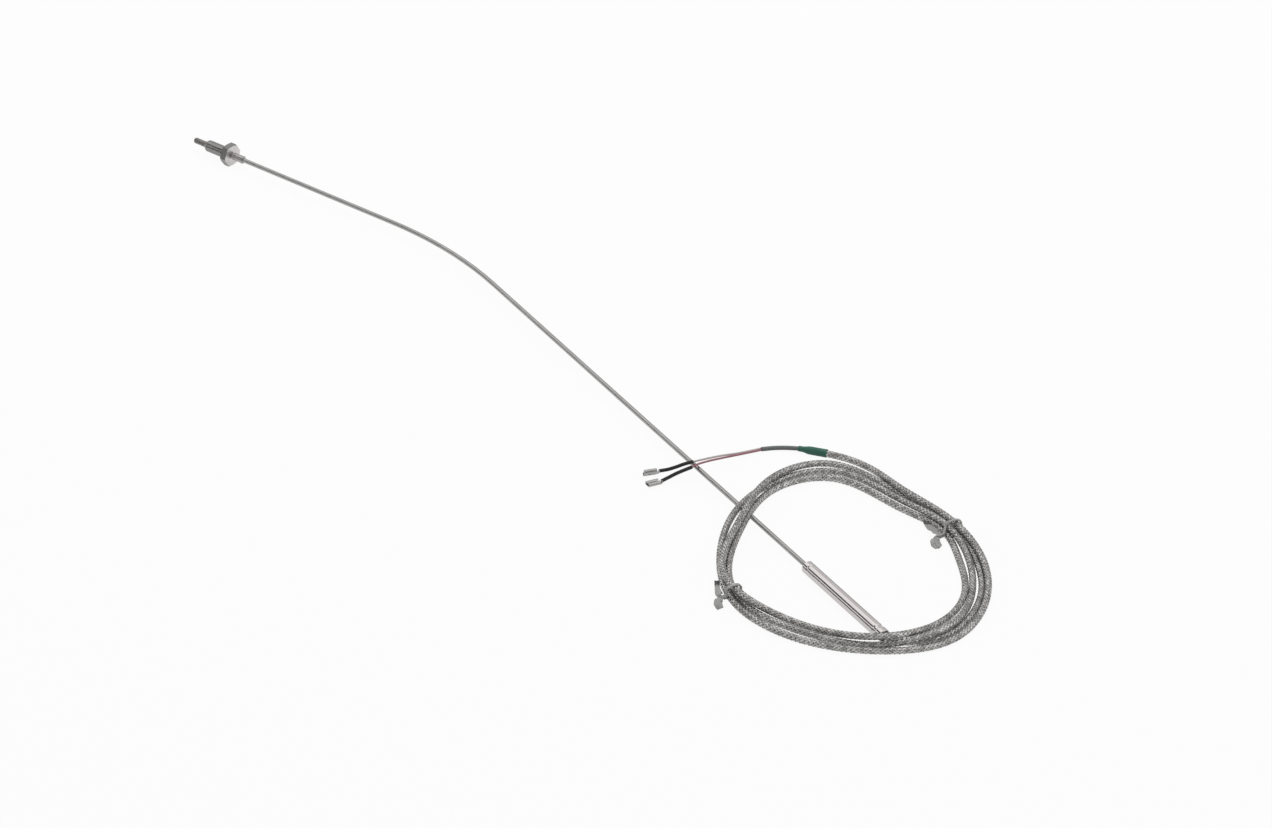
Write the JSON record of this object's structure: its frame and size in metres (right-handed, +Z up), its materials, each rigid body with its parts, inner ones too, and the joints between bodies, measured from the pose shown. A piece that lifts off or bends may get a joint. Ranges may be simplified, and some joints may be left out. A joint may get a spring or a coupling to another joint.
{
  "type": "rtd probe with head",
  "caption": "Screw-in temperature probe: slim sensing tip, swivelling hexagon screw, long bent metal sheath, transition sleeve and a coiled braided cable with push-on terminals.",
  "frame": {"origin": "centre of the hexagon's seating face on the head's axis", "axes": "+X along the head's axis from the sensing tip towards the sheath, +Z up from the surface that the part lies on"},
  "size_m": [0.5808, 0.1723, 0.0112],
  "materials": {
    "tip_metal": "dull, slightly heat-tinted stainless steel",
    "screw_metal": "turned and polished stainless steel",
    "ferrule_metal": "turned stainless steel",
    "sheath_metal": "satin stainless steel tube",
    "sleeve_metal": "polished stainless steel tube",
    "ceramic": "packed mineral powder and fired ceramic",
    "conductor": "drawn wire",
    "potting": "cast resin",
    "braid": "woven metal wire over the insulated cable",
    "green_plastic": "shrink tubing",
    "grey_plastic": "extruded cable jacket",
    "white_plastic": "extruded wire insulation",
    "red_plastic": "extruded wire insulation",
    "black_plastic": "woven sleeving with a satin face",
    "terminal_metal": "stamped tin-plated metal",
    "tie_plastic": "thin plastic-covered wire"
  },
  "bodies": {
    "probe": {"sensing_tip": "tip_metal", "element": "ceramic", "element_lead_a": "conductor", "element_lead_b": "conductor", "tip_filling": "ceramic", "ferrule": "ferrule_metal", "sheath": "sheath_metal", "sheath_insulation": "ceramic", "conductor_a": "conductor", "conductor_b": "conductor", "transition_sleeve": "sleeve_metal", "sleeve_bush": "tip_metal", "splice_a": "conductor", "splice_b": "conductor", "sleeve_potting": "potting", "cable_exit": "braid", "cable_coil": "braid", "cable_tail": "braid", "shrink_sleeve": "green_plastic", "inner_jacket": "grey_plastic", "lead_white": "white_plastic", "lead_red": "red_plastic", "lead_sleeve_a": "black_plastic", "lead_sleeve_b": "black_plastic", "terminal_a": "terminal_metal", "terminal_b": "terminal_metal", "tie_right": "tie_plastic", "tie_left": "tie_plastic"},
    "screw": {"swivel_screw": "screw_metal"}
  },
  "joints": [
    {"name": "screw_swivel", "type": "hinge", "parent": "probe", "child": "screw", "pos_m": [0, 0, 0], "axis": [1, 0, 0], "continuous": true}
  ]
}
